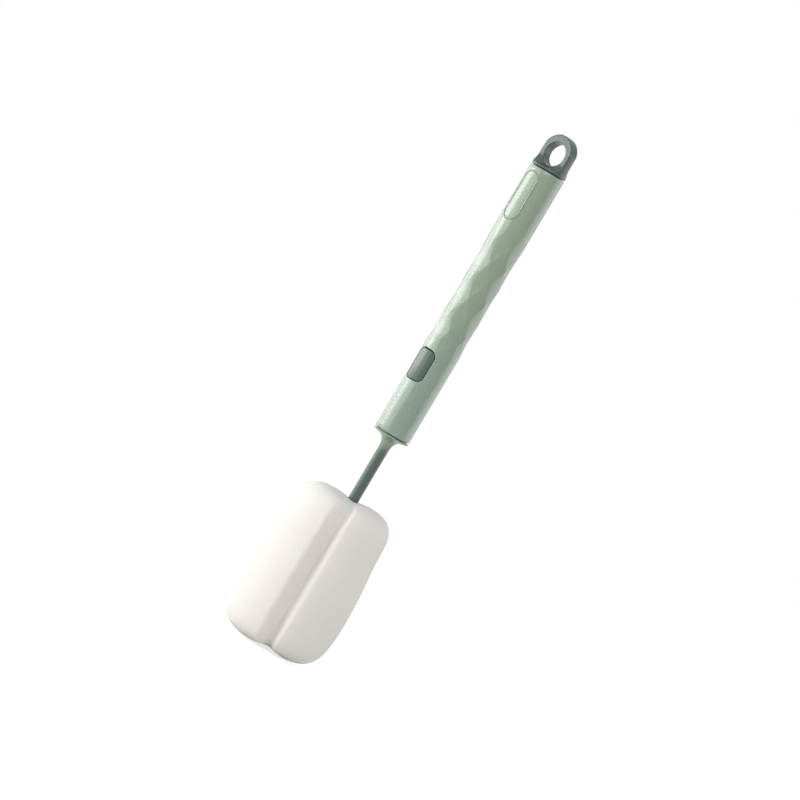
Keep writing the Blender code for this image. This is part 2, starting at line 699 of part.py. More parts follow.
def make_spindle():
    neck = STRIP_THICKNESS / 2 - RUN / 2
    collar = COLLAR_DIAMETER / 2
    foot = SOCKET_FLOOR + RUN
    spindle = turned("spindle", [
        (0.0, CARTRIDGE_TOP), (SPINDLE_REAR_RADIUS, CARTRIDGE_TOP), (SPINDLE_REAR_RADIUS, STRIP_TOP - OVER),
        (neck, STRIP_TOP - OVER), (neck, STRIP_BOTTOM + OVER), (SPINDLE_FRONT_RADIUS, STRIP_BOTTOM + OVER),
        (SPINDLE_FRONT_RADIUS, COLLAR_BOTTOM + COLLAR_LENGTH), (collar, COLLAR_BOTTOM + COLLAR_LENGTH),
        (collar, COLLAR_BOTTOM), (SPINDLE_FRONT_RADIUS, COLLAR_BOTTOM), (SPINDLE_FRONT_RADIUS, foot),
        (0.0, foot)], SMALL_STEPS)
    join(spindle, twisted_strip("twisted strip", 0.0, STRIP_BOTTOM, STRIP_TOP))
    cut(spindle, cross_hole("spindle pin hole", STRIP_WIDTH, STEM_PIN_Z))
    return spindle


# The slanted plane where the button's legs lift the nut: its height at a depth along Y
def wedge_height(depth):
    return BUTTON_LOW - WEDGE_SLOPE * (depth + LEG_TIP)


def make_drive_nut():
    gap = RUN * math.hypot(1.0, WEDGE_SLOPE)
    foot = wedge_height(NUT_HALF) + gap + NUT_NOSE
    outline = [
        (-NUT_HALF, wedge_height(-NUT_HALF) + gap), (NUT_HALF - NUT_NOSE / WEDGE_SLOPE, foot), (NUT_HALF, foot),
        (NUT_HALF, NUT_TOP), (-NUT_HALF, NUT_TOP)]
    nut = plate("drive_nut", outline, 2 * (GUIDE_HALF - RUN), side_view())
    reach = CAVITY_RADIUS - RUN
    keep_inside(nut, bar("nut round", reach, (0, 0, foot - OVER), (0, 0, NUT_TOP + OVER), ROUND_STEPS))
    slot = NUT_TOP - NUT_SLOT
    cut(nut, bar("nut bore", STRIP_RADIUS + RUN, (0, 0, foot - OVER), (0, 0, slot)))
    cut(nut, twisted_strip("nut slot", RUN, slot - OVER, NUT_TOP + OVER))
    return nut


# Thumb button: a hollow cap on the handle's curve, end lips that catch behind the wall, and two slanted legs
def make_button():
    face = HANDLE_RADIUS + BUTTON_PROUD
    hollow = -(face - BUTTON_SKIN)
    outer = -HANDLE_DIAMETER
    outline = rounded_outline(BUTTON_WIDTH, BUTTON_LENGTH, BUTTON_CORNER)
    middle = (outer - BUTTON_INNER) / 2
    button = plate("button", outline, -outer - BUTTON_INNER, facing_button(BUTTON_Z, middle))
    keep_inside(button, bar("button face", face, (0, 0, BUTTON_LOW - OVER), (0, 0, BUTTON_HIGH + OVER), 80))
    half = BUTTON_WIDTH / 2
    inner = half - BUTTON_RIM
    root = half - BUTTON_CORNER
    hollow_low = (-inner, hollow, BUTTON_LOW + BUTTON_RIM)
    cut(button, block("button hollow", hollow_low, (inner, 0, BUTTON_HIGH - BUTTON_RIM)))
    for end, low, high in (
            ("lower", BUTTON_LOW - LIP_REACH, BUTTON_LOW + BUTTON_RIM),
            ("upper", BUTTON_HIGH - BUTTON_RIM, BUTTON_HIGH + LIP_REACH)):
        lip_face = -(CARTRIDGE_RADIUS - LIP_THICKNESS)
        lip = block(f"{end} lip", (-LIP_WIDTH / 2, -HANDLE_RADIUS, low), (LIP_WIDTH / 2, lip_face, high))
        keep_inside(lip, bar(f"{end} lip round", CARTRIDGE_RADIUS, (0, 0, low - OVER), (0, 0, high + OVER), 80))
        root_low = (-root, hollow, max(low, BUTTON_LOW))
        join(button, lip, block(f"{end} lip root", root_low, (root, lip_face, min(high, BUTTON_HIGH))))
    inside_wall = RUN - math.sqrt(BORE_RADIUS ** 2 - half ** 2)
    low = BUTTON_LOW + BUTTON_CORNER
    high = BUTTON_HIGH - BUTTON_CORNER
    profile = [
        (hollow, low), (inside_wall, low), (inside_wall, LEG_BOTTOM), (-LEG_TIP, LEG_BOTTOM),
        (-LEG_TIP, wedge_height(-LEG_TIP)), (-BUTTON_INNER, wedge_height(-BUTTON_INNER)), (-BUTTON_INNER, high),
        (hollow, high)]
    for side in (-1, 1):
        offset = side * (half + LEG_INNER) / 2
        join(button, plate(f"leg {side}", profile, half - LEG_INNER, side_view(offset)))
    return button


def make_return_spring():
    low = NUT_TOP + RUN + SPRING_WIRE / 2
    high = CAVITY_TOP - RUN - SPRING_WIRE / 2
    count = SPRING_TURNS * SPRING_POINTS
    points = []
    for step in range(count + 1):
        turn = math.tau * step / SPRING_POINTS
        height = low + (high - low) * step / count
        points.append(Vector((SPRING_RADIUS * math.cos(turn), SPRING_RADIUS * math.sin(turn), height)))
    least = min(
        (points[first] - points[second]).length
        for first in range(len(points)) for second in range(first + SPRING_POINTS // 2, len(points)))
    print(f"return spring: least gap to itself {(least - SPRING_WIRE) / MM:.2f} mm")
    return wire("return_spring", points, SPRING_WIRE / 2, 1)


for old in list(bpy.data.objects):
    bpy.data.objects.remove(old)
parts = bpy.data.collections.new("rotating_bottle_brush")
cutters = bpy.data.collections.new("cutters")
bpy.context.scene.collection.children.link(parts)
bpy.context.scene.collection.children.link(cutters)

sage = material("sage abs", "C5D8CB", 0.35)
slate = material("grey green abs", "6F8078", 0.38)
foam_white = material("white foam", "F7F6F3", 0.95)
acetal = material("natural acetal", "E9E7DF", 0.4)
inner_grey = material("inner grey abs", "9AA29E", 0.5)
steel = material("steel", "B9BCC0", 0.3, 1.0)

handle = axis_empty("handle_carrier", (0, 0, HANDLE_BOTTOM))
head = axis_empty("head_turn_axis", (0, 0, FLARE_TOP))
nut_guide = axis_empty("nut_slide_axis", (0, 0, NUT_TOP))
press = axis_empty("button_press_axis", (0, -HANDLE_RADIUS, BUTTON_Z))

finish(make_handle_shell(), sage, handle, 12)
finish(make_loop_cap(), slate, handle)
finish(ring("front_bush", BUSH_RADIUS, BUSH_BORE_RADIUS, BUSH_BOTTOM, BUSH_TOP), acetal, handle)
bush_outer = SPINDLE_REAR_RADIUS + RUN + REAR_BUSH_WALL
bush_inner = SPINDLE_REAR_RADIUS + RUN
finish(ring("rear_bush", bush_outer, bush_inner, REAR_BUSH_BOTTOM, REAR_BUSH_TOP, SMALL_STEPS), acetal, handle)
finish(make_cartridge("cartridge_left", -1), inner_grey, handle)
finish(make_cartridge("cartridge_right", 1), inner_grey, handle)
for number, (offset, height) in enumerate(screw_places()):
    finish(make_screw(number, offset, height), steel, handle)
finish(make_return_spring(), steel, handle)

finish(make_stem(), slate, head)
finish(ring("thrust_washer", BUSH_RADIUS, BUSH_BORE_RADIUS, WASHER_BOTTOM, WASHER_TOP), steel, head)
finish(make_clip(), steel, head)
finish(make_spindle(), steel, head)
finish(make_pin("spindle_pin", JOURNAL_RADIUS - RUN, STEM_PIN_Z), steel, head)
finish(make_core(), acetal, head)
finish(make_pin("core_pin", CORE_DIAMETER / 2 - 2 * RUN, CORE_PIN_Z), steel, head)
finish(make_foam_head(), foam_white, head, 60)

finish(make_drive_nut(), acetal, nut_guide)
finish(make_button(), slate, press)

print(f"overall length {CAP_TOP / MM:.1f} mm, head turns {math.degrees(TURN_ANGLE):.0f} degrees a press")
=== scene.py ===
# Rotating bottle brush: foam head, grey green stem, sage handle with a thumb button, hanging loop
import math

import bmesh
import bpy
from mathutils import Matrix, Vector, noise


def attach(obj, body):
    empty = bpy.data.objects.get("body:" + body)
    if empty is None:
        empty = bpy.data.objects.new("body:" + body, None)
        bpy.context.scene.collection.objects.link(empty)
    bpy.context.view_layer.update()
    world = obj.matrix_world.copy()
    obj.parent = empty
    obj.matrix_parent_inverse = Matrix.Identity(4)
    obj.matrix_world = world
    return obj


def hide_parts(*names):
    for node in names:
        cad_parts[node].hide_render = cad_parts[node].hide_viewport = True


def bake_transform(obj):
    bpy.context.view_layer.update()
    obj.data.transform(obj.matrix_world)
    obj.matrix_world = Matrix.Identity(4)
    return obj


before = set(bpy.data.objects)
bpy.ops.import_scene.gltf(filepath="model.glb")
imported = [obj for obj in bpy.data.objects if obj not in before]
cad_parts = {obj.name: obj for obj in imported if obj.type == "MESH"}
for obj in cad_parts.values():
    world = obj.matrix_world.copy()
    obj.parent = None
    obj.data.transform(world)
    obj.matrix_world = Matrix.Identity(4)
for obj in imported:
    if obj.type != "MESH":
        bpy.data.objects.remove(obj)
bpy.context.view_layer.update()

scene = bpy.context.scene
mm = 0.001
mergeGap = 0.001 * mm  # corners nearer than this are one
tiny = 1e-9  # keeps a division off nought
smoothShare = 0.5  # how far one smoothing pass moves a corner
frontAngle = -math.pi / 2  # the button and the panel face -Y


def linkObject(name, data):
    made = bpy.data.objects.new(name, data)
    scene.collection.objects.link(made)
    return made


def meshFrom(shape, name):
    mesh = bpy.data.meshes.new(name)
    shape.to_mesh(mesh)
    shape.free()
    return mesh


# Camera as in the photograph: 40.5 degrees round to the right and 3 degrees above level, so that the seams
# are seen nearly level and the foam a little from above, and leaning so that the brush tips right; angles are
# in degrees, lengths in metres and the sensor in millimetres
view = {
    "turn": 40.5, "rise": 3.05, "lean": 30.7, "distance": 2.2, "frameWidth": 0.3643, "height": 0.1284,
    "shift": -0.0049, "near": 0.05, "far": 50.0, "sensor": 36.0}


# Gives back two level directions: to the right in the picture, and towards the camera
def placeCamera():
    turn = math.radians(view["turn"])
    rise = math.radians(view["rise"])
    lean = math.radians(view["lean"])
    across = Vector((math.cos(turn), math.sin(turn), 0.0))
    back = Vector((math.sin(turn), -math.cos(turn), 0.0))
    away = back * math.cos(rise) + Vector((0.0, 0.0, math.sin(rise)))
    upright = away.cross(across)
    right = across * math.cos(lean) + upright * math.sin(lean)
    up = upright * math.cos(lean) - across * math.sin(lean)
    target = Vector((0.0, 0.0, view["height"])) + across * view["shift"]
    lens = bpy.data.cameras.new("photo camera")
    lens.sensor_width = view["sensor"]
    lens.lens = view["sensor"] * view["distance"] / view["frameWidth"]
    lens.clip_start = view["near"]
    lens.clip_end = view["far"]
    camera = linkObject("photo camera", lens)
    turned = Matrix((right, up, away)).transposed().to_4x4()
    camera.matrix_world = Matrix.Translation(target + away * view["distance"]) @ turned
    scene.camera = camera
    print("stage camera")
    return across, back


# One linear colour from an sRGB hex value
def tint(hexColour):
    channels = []
    for start in (0, 2, 4):
        value = int(hexColour[start:start + 2], 16) / 255
        channels.append(value / 12.92 if value <= 0.04045 else ((value + 0.055) / 1.055) ** 2.4)
    return (*channels, 1.0)


# Adds a node; each setting is a property, a socket's value, or a link from another socket
def addNode(tree, kind, settings):
    node = tree.nodes.new("ShaderNode" + kind)
    for key, value in settings.items():
        if isinstance(key, str) and hasattr(node, key):
            setattr(node, key, value)
        elif isinstance(value, bpy.types.NodeSocket):
            tree.links.new(value, node.inputs[key])
        else:
            node.inputs[key].default_value = value
    return node


noiseSpan = (0.3, 0.7)  # nearly all values of a noise texture lie between these


def startMaterial(name):
    made = bpy.data.materials.new(name)
    made.use_nodes = True
    made.node_tree.nodes.clear()
    return made, made.node_tree


moulding = {"flowDetail": 2.0, "grainDetail": 3.0, "glossSpread": 0.025, "grainDepth": 0.05}


# Injection moulded plastic from a finely spark-eroded tool: satin, soft broad highlights, hardly any grain
def mouldedPlastic(name, look):
    made, tree = startMaterial(name)
    place = addNode(tree, "TexCoord", {}).outputs["Object"]
    flow = addNode(tree, "TexNoise", {
        "Vector": place, "Scale": 1 / (look["flowSize"] * mm), "Detail": moulding["flowDetail"]})
    grain = addNode(tree, "TexNoise", {
        "Vector": place, "Scale": 1 / (look["grainSize"] * mm), "Detail": moulding["grainDetail"]})
    colour = addNode(tree, "Mix", {
        "data_type": "RGBA", 0: flow.outputs[0], 6: tint(look["colour"]), 7: tint(look["flowColour"])})
    if "fade" in look:  # between two heights the colour goes over to a second, which ends at a last height
        low, high, last, second = look["fade"]
        spot = addNode(tree, "SeparateXYZ", {"Vector": place})
        below = addNode(tree, "Math", {"operation": "LESS_THAN", 0: spot.outputs["Z"], 1: last * mm})
        share = addNode(tree, "MapRange", {
            "interpolation_type": "SMOOTHSTEP", "Value": spot.outputs["Z"], "From Min": low * mm,
            "From Max": high * mm, "To Max": below.outputs[0]})
        colour = addNode(tree, "Mix", {
            "data_type": "RGBA", 0: share.outputs[0], 6: colour.outputs[2], 7: tint(second)})
    spread = moulding["glossSpread"]
    gloss = addNode(tree, "MapRange", {
        "Value": flow.outputs[0], "From Min": noiseSpan[0], "From Max": noiseSpan[1],
        "To Min": look["roughness"] - spread, "To Max": look["roughness"] + spread})
    relief = addNode(tree, "Bump", {
        "Height": grain.outputs[0], "Strength": look["grainStrength"],
        "Distance": moulding["grainDepth"] * mm})
    plastic = addNode(tree, "BsdfPrincipled", {
        "Base Color": colour.outputs[2], "Roughness": gloss.outputs[0], "Normal": relief.outputs[0],
        "IOR": look["ior"], "Specular IOR Level": look["sheen"]})
    addNode(tree, "OutputMaterial", {"Surface": plastic.outputs[0]})
    return made


# Open-cell polyurethane foam, cut with a hot wire: matt, pores just seen as a fine speckle of painted shade,
# light soaks in;
# the cells are drawn at 0.8 mm, coarser than real ones, which would be too fine to show
def cutFoam(name, look):
    made, tree = startMaterial(name)
    place = addNode(tree, "TexCoord", {}).outputs["Object"]
    foamCells = addNode(tree, "TexVoronoi", {"Vector": place, "Scale": 1 / (look["cellSize"] * mm)})
    cells = foamCells.outputs["Distance"]
    cloud = addNode(tree, "TexNoise", {
        "Vector": place, "Scale": 1 / (look["cloudSize"] * mm), "Detail": look["cloudDetail"]})
    fine = addNode(tree, "TexNoise", {
        "Vector": place, "Scale": 1 / (look["fineSize"] * mm), "Detail": look["fineDetail"]})
    pores = addNode(tree, "MapRange", {
        "Value": cells, "From Min": 0.0, "From Max": look["poreEdge"], "To Min": 1.0, "To Max": 0.0})
    patch = addNode(tree, "Mix", {
        "data_type": "RGBA", 0: cloud.outputs[0], 6: tint(look["colour"]), 7: tint(look["cloudColour"])})
    # The pores are darkened: painted shade in the cells
    paintedPoreShade = addNode(tree, "Math", {"operation": "MULTIPLY", 0: pores.outputs[0], 1: look["poreDepth"]})
    colour = addNode(tree, "Mix", {
        "data_type": "RGBA", 0: paintedPoreShade.outputs[0], 6: patch.outputs[2], 7: tint(look["poreShadeColour"])})
    height = addNode(tree, "Math", {
        "operation": "MULTIPLY_ADD", 0: fine.outputs[0], 1: look["fineShare"], 2: cells})
    relief = addNode(tree, "Bump", {
        "Height": height.outputs[0], "Strength": look["bumpStrength"], "Distance": look["bumpDepth"] * mm})
    sponge = addNode(tree, "BsdfPrincipled", {
        "Base Color": colour.outputs[2], "Roughness": look["roughness"], "IOR": look["ior"],
        "Normal": relief.outputs[0], "Subsurface Weight": look["glow"],
        "Subsurface Radius": look["glowColours"], "Subsurface Scale": look["glowDepth"] * mm})
    addNode(tree, "OutputMaterial", {"Surface": sponge.outputs[0]})
    return made


# Drawn and ground steel: clear metal with fine lines across the turning axis
def drawnSteel(name, look):
    made, tree = startMaterial(name)
    place = addNode(tree, "TexCoord", {}).outputs["Object"]
    stretch = addNode(tree, "Mapping", {"Vector": place, "Scale": (1.0, 1.0, look["stretch"])})
    lines = addNode(tree, "TexNoise", {
        "Vector": stretch.outputs[0], "Scale": 1 / (look["lineSize"] * mm), "Detail": look["lineDetail"]})
    colour = addNode(tree, "Mix", {
        "data_type": "RGBA", 0: lines.outputs[0], 6: tint(look["colour"]), 7: tint(look["lineColour"])})
    gloss = addNode(tree, "MapRange", {
        "Value": lines.outputs[0], "From Min": noiseSpan[0], "From Max": noiseSpan[1],
        "To Min": look["gloss"][0], "To Max": look["gloss"][1]})
    relief = addNode(tree, "Bump", {
        "Height": lines.outputs[0], "Strength": look["bumpStrength"], "Distance": look["bumpDepth"] * mm})
    steel = addNode(tree, "BsdfPrincipled", {
        "Base Color": colour.outputs[2], "Metallic": 1.0, "Roughness": gloss.outputs[0],
        "Normal": relief.outputs[0]})
    addNode(tree, "OutputMaterial", {"Surface": steel.outputs[0]})
    return made


# Moulded ABS of the handle, a little yellower towards the loop, as photographed
sageAbs = mouldedPlastic("sage moulded ABS", {
    "colour": "7D9182", "flowColour": "809485", "flowSize": 22.0, "grainSize": 0.5, "grainStrength": 0.02,
    "roughness": 0.26, "ior": 1.5, "sheen": 0.9, "fade": (135.0, 180.0, 300.0, "7E917A")})

# Moulded ABS of the loop, the button and the stem; the loop's copy is darker as painted shade, and the stem's
# flare goes over to sage as painted light
greyGreen = {
    "colour": "475750", "flowColour": "4C5C55", "flowSize": 9.0, "grainSize": 0.5, "grainStrength": 0.02,
    "roughness": 0.31, "ior": 1.5, "sheen": 0.5}
# The loop's copy is darker than the stem's: painted shade
greyGreenAbsPaintedShade = mouldedPlastic("grey green moulded ABS", {
    **greyGreen, "colour": "3F4E48", "flowColour": "44534D"})
buttonAbs = mouldedPlastic("grey green moulded ABS, smooth", {
    **greyGreen, "colour": "41594E", "flowColour": "465E53", "roughness": 0.29})
# The flare and its rim are painted pale: painted light that stands in for the white below reflected at a
# grazing angle; the step and journal above keep the dark colour
stemAbsWithPaintedFlareLight = mouldedPlastic("grey green moulded ABS, sage at the flare", {
    **greyGreen, "fade": (102.5, 109.6, 112.58, "8A9E8A")})

# Moulded ABS of the cartridge halves inside
innerAbs = mouldedPlastic("inner grey moulded ABS", {
    "colour": "979C9B", "flowColour": "9CA19F", "flowSize": 9.0, "grainSize": 0.4, "grainStrength": 0.2,
    "roughness": 0.5, "ior": 1.5, "sheen": 0.5})

# Unpainted moulded acetal of the bushes, the nut and the foam's core
naturalAcetal = mouldedPlastic("natural moulded acetal", {
    "colour": "E8E6DE", "flowColour": "ECEAE3", "flowSize": 6.0, "grainSize": 0.3, "grainStrength": 0.08,
    "roughness": 0.30, "ior": 1.48, "sheen": 0.5})

# Polyurethane foam of the head
foam = cutFoam("white open-cell foam", {
    "colour": "ECE9E6", "cloudColour": "E9E5E1", "cloudSize": 9.0, "cloudDetail": 4.0, "cellSize": 0.8,
    "fineSize": 0.35, "fineDetail": 2.0, "fineShare": 0.8, "poreShadeColour": "D7D2CD", "poreDepth": 0.25,
    "poreEdge": 0.45, "bumpStrength": 0.35, "bumpDepth": 0.2, "roughness": 0.92, "ior": 1.3, "glow": 0.8,
    "glowDepth": 5.0, "glowColours": (1.0, 0.95, 0.9)})

# Stainless steel of the spindle, pins, screws, clip, washer and spring
groundSteel = drawnSteel("ground steel", {
    "colour": "B9BCC0", "lineColour": "AEB1B5", "lineSize": 0.6, "lineDetail": 3.0, "stretch": 12.0,
    "gloss": (0.24, 0.38), "bumpStrength": 0.2, "bumpDepth": 0.01})


dressed = []  # the CAD nodes that a piece of this file stands for


# Links a finished bmesh as a piece that rides on a body and, where given, stands for a CAD node
def addPiece(name, shape, finish, body, replaced=None, crease=60.0):
    mesh = meshFrom(shape, name)
    mesh.materials.append(finish)
    piece = linkObject(name, mesh)
    mesh.shade_smooth()
    mesh.set_sharp_from_angle(angle=math.radians(crease))
    if body:
        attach(piece, body)
    if replaced:
        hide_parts(replaced)
        dressed.append(replaced)
    print("piece", name, len(mesh.polygons), "faces")
    return piece


# Runs modifiers on a bmesh and gives the result back as a bmesh
def throughModifiers(shape, steps):
    work = linkObject("work", meshFrom(shape, "work"))
    spares = [work]
    for kind, settings in steps:
        step = work.modifiers.new(kind.lower(), kind)
        for key, value in settings.items():
            if isinstance(value, bmesh.types.BMesh):
                value = linkObject("tool", meshFrom(value, "tool"))
                spares.append(value)
            setattr(step, key, value)
    ready = work.evaluated_get(bpy.context.evaluated_depsgraph_get())
    result = bmesh.new()
    result.from_mesh(ready.to_mesh())
    for spare in spares:
        spareMesh = spare.data
        bpy.data.objects.remove(spare)
        bpy.data.meshes.remove(spareMesh)
    return result


# A turned solid: a profile of (radius, height) in mm, spun all the way round
def turnProfile(profile, steps):
    shape = bmesh.new()
    corners = [shape.verts.new((radius * mm, 0.0, height * mm)) for radius, height in profile]
    for first, second in zip(corners, corners[1:]):
        shape.edges.new((first, second))
    bmesh.ops.spin(
        shape, geom=shape.verts[:] + shape.edges[:], cent=(0, 0, 0), axis=(0, 0, 1), dvec=(0, 0, 0),
        angle=math.tau, steps=steps, use_merge=True)
    bmesh.ops.remove_doubles(shape, verts=shape.verts, dist=mergeGap)
    bmesh.ops.recalc_face_normals(shape, faces=shape.faces)
    return shape


# From lying about Z to standing about Y, then up to a height
def turnToFront(shape, height):
    bmesh.ops.rotate(shape, verts=shape.verts, cent=(0, 0, 0), matrix=Matrix.Rotation(math.pi / 2, 3, "X"))
    bmesh.ops.translate(shape, verts=shape.verts, vec=(0, 0, height * mm))


def cornersOf(items):
    return [item for item in items if isinstance(item, bmesh.types.BMVert)]


def openEdges(shape, test):
    return [edge for edge in shape.edges
            if edge.is_boundary and test(edge.verts[0].co) and test(edge.verts[1].co)]


def extrudeRing(shape, edges):
    grown = bmesh.ops.extrude_edge_only(shape, edges=edges)["geom"]
    corners = cornersOf(grown)
    known = set(corners)
    edges = [item for item in grown
             if isinstance(item, bmesh.types.BMEdge) and item.verts[0] in known and item.verts[1] in known]
    return corners, edges


def quarter(count):
    return [math.pi / 2 * step / count for step in range(count + 1)]


def spaced(start, end, count):
    return [start + (end - start) * step / count for step in range(count)]


# Nought to one with a soft start and end
def eased(share):
    share = min(1.0, max(0.0, share))
    return share * share * (3 - 2 * share)


# The lesser of two lengths, rounded over where they meet
def softLesser(first, second, soft):
    return -soft * math.log(math.exp(-first / soft) + math.exp(-second / soft))


# A smooth curve through a table of (height, reach)
def reachAt(table, height):
    spot = max(0, sum(place <= height for place, _ in table) - 1)
    spot = min(spot, len(table) - 2)
    (low, first), (high, last) = table[spot:spot + 2]
    span = high - low
    slopes = []
    for middle in (spot, spot + 1):
        before, after = table[max(0, middle - 1)], table[min(len(table) - 1, middle + 1)]
        slopes.append((after[1] - before[1]) / (after[0] - before[0]) * span)
    share = (height - low) / span
    return (first + (last - first) * eased(share) + slopes[0] * share * (1 - share) ** 2
            - slopes[1] * share ** 2 * (1 - share))


# Stage: a pale floor that keeps the soft shadow, white surroundings and soft lamps; a lamp's numbers are
# its side and height in degrees, its width and tallness in metres and its power in watts
stage = {
    "floorRadius": 1.6, "floorSegments": 96, "floorDrop": 0.2, "floorColour": "ECECEA",
    "patchColour": "F0F0EE", "patchSize": 166.67, "floorRoughness": 0.9, "floorSheen": 0.1, "floorLift": 0.7,
    "ambient": 0.32,
    "lamps": {
        "edge": (-128.0, 3.0, 0.6, 0.34, 1.7), "key": (-94.0, 3.0, 0.56, 0.3, 3.8),
        "side": (-60.0, 3.0, 0.8, 0.44, 2.7), "right": (112.0, 3.0, 1.1, 0.9, 3.8),
        "front": (2.0, 35.0, 0.8, 0.8, 4.7)},
    "lampDistance": 1.0, "lampTarget": 0.13}


def makeFloor():
    shape = bmesh.new()
    bmesh.ops.create_circle(
        shape, cap_ends=True, radius=stage["floorRadius"], segments=stage["floorSegments"])
    bmesh.ops.translate(shape, verts=shape.verts, vec=(0, 0, -stage["floorDrop"] * mm))
    mesh = meshFrom(shape, "floor")
    made, tree = startMaterial("painted studio floor")  # matt white paint, shows only soft shadows
    rays = addNode(tree, "LightPath", {})  # the lift is only for what the camera sees, straight or mirrored
    seen = addNode(tree, "Math", {
        "operation": "MAXIMUM", 0: rays.outputs["Is Camera Ray"], 1: rays.outputs["Is Glossy Ray"]})
    lift = addNode(tree, "Math", {"operation": "MULTIPLY", 0: seen.outputs[0], 1: stage["floorLift"]})
    place = addNode(tree, "TexCoord", {}).outputs["Object"]
    patch = addNode(tree, "TexNoise", {"Vector": place, "Scale": 1 / (stage["patchSize"] * mm)})
    colour = addNode(tree, "Mix", {
        "data_type": "RGBA", 0: patch.outputs[0], 6: tint(stage["floorColour"]),
        7: tint(stage["patchColour"])})
    paint = addNode(tree, "BsdfPrincipled", {
        "Base Color": colour.outputs[2], "Roughness": stage["floorRoughness"],
        "Specular IOR Level": stage["floorSheen"], "Emission Color": (1, 1, 1, 1),
        "Emission Strength": lift.outputs[0]})
    addNode(tree, "OutputMaterial", {"Surface": paint.outputs[0]})
    mesh.materials.append(made)
    floor = linkObject("floor", mesh)
    print("stage floor")


def lightScene(across, back):
    world = bpy.data.worlds.new("white surroundings")
    scene.world = world
    world.use_nodes = True
    tree = world.node_tree
    tree.nodes.clear()
    rays = addNode(tree, "LightPath", {})  # white for the camera, straight, mirrored or through glass
    straight = addNode(tree, "Math", {
        "operation": "MAXIMUM", 0: rays.outputs["Is Camera Ray"], 1: rays.outputs["Is Glossy Ray"]})
    seen = addNode(tree, "Math", {
        "operation": "MAXIMUM", 0: straight.outputs[0], 1: rays.outputs["Is Transmission Ray"]})
    dim = addNode(tree, "Background", {"Color": (1, 1, 1, 1), "Strength": stage["ambient"]})
    white = addNode(tree, "Background", {"Color": (1, 1, 1, 1), "Strength": 1.0})
    both = addNode(tree, "MixShader", {0: seen.outputs[0], 1: dim.outputs[0], 2: white.outputs[0]})
    addNode(tree, "OutputWorld", {"Surface": both.outputs[0]})
    for name, (side, height, width, tall, power) in stage["lamps"].items():
        level = back * math.cos(math.radians(side)) + across * math.sin(math.radians(side))
        toward = level * math.cos(math.radians(height)) + Vector((0, 0, math.sin(math.radians(height))))
        lamp = bpy.data.lights.new(name + " softbox", "AREA")
        lamp.shape = "RECTANGLE"
        lamp.size = width
        lamp.size_y = tall
        lamp.energy = power
        holder = linkObject(name + " softbox", lamp)
        turned = toward.to_track_quat("Z", "Y").to_matrix().to_4x4()
        place = Vector((0, 0, stage["lampTarget"])) + toward * stage["lampDistance"]
        holder.matrix_world = Matrix.Translation(place) @ turned
    print("stage lights")


# Stem: rod, trumpet flare as (height, radius) and bearing journal, as one moulding; the step stands up from
# the rim and closes the view through the seam
stem = {
    "rod": 2.6, "bottom": 30.0, "bottomChamfer": 0.4, "rodRings": (50.0, 75.0, 90.0, 100.0),
    "flare": (
        (103.0, 2.6), (105.0, 2.6), (106.4, 2.66), (107.5, 2.8), (108.5, 3.06), (109.45, 3.5), (110.2, 4.1),
        (110.8, 4.9), (111.2, 5.9), (111.5, 7.1), (111.72, 8.3), (111.84, 8.6)),
    "flareRings": 48, "flareGather": 2.4, "rim": 8.75, "rimTop": 112.6, "rimDepth": 0.6, "rimRound": 0.3,
    "rimSteps": 4,
    "step": (6.6, 7.5, 113.0), "journal": 4.75, "journalTop": 123.4, "journalFoot": 0.2,
    "journalChamfer": 0.3, "groove": (120.5, 121.9, 4.15), "socket": 2.6, "socketFloor": 114.6, "steps": 96}


def makeStem():
    rod, bottom, chamfer = stem["rod"], stem["bottom"], stem["bottomChamfer"]
    profile = [(0, bottom), (rod - chamfer, bottom), (rod, bottom + chamfer)]
    profile += [(rod, height) for height in stem["rodRings"]]
    low, high = stem["flare"][0][0], stem["flare"][-1][0]
    for step in range(stem["flareRings"] + 1):  # closer together towards the rim
        height = high - (high - low) * (1 - step / stem["flareRings"]) ** stem["flareGather"]
        profile.append((reachAt(stem["flare"], height), height))
    rim, rimTop, rimRound = stem["rim"], stem["rimTop"], stem["rimRound"]
    profile.append((rim, rimTop - stem["rimDepth"]))
    for swing in quarter(stem["rimSteps"])[1:]:
        profile.append((rim - rimRound * (1 - math.cos(swing)), rimTop - rimRound * (1 - math.sin(swing))))
    stepInner, stepOuter, stepTop = stem["step"]
    profile += [(stepOuter, rimTop), (stepOuter, stepTop), (stepInner, stepTop), (stepInner, rimTop)]
    journal, journalTop = stem["journal"], stem["journalTop"]
    foot, chamfer = stem["journalFoot"], stem["journalChamfer"]
    low, high, depth = stem["groove"]
    profile += [
        (journal + foot, rimTop), (journal, rimTop + foot), (journal, low), (depth, low), (depth, high),
        (journal, high), (journal, journalTop - chamfer), (journal - chamfer, journalTop)]
    profile += [
        (stem["socket"], journalTop), (stem["socket"], stem["socketFloor"]), (0, stem["socketFloor"])]
    shape = turnProfile(profile, stem["steps"])
    addPiece("stemMoulding", shape, stemAbsWithPaintedFlareLight, "head", "stem", crease=40.0)


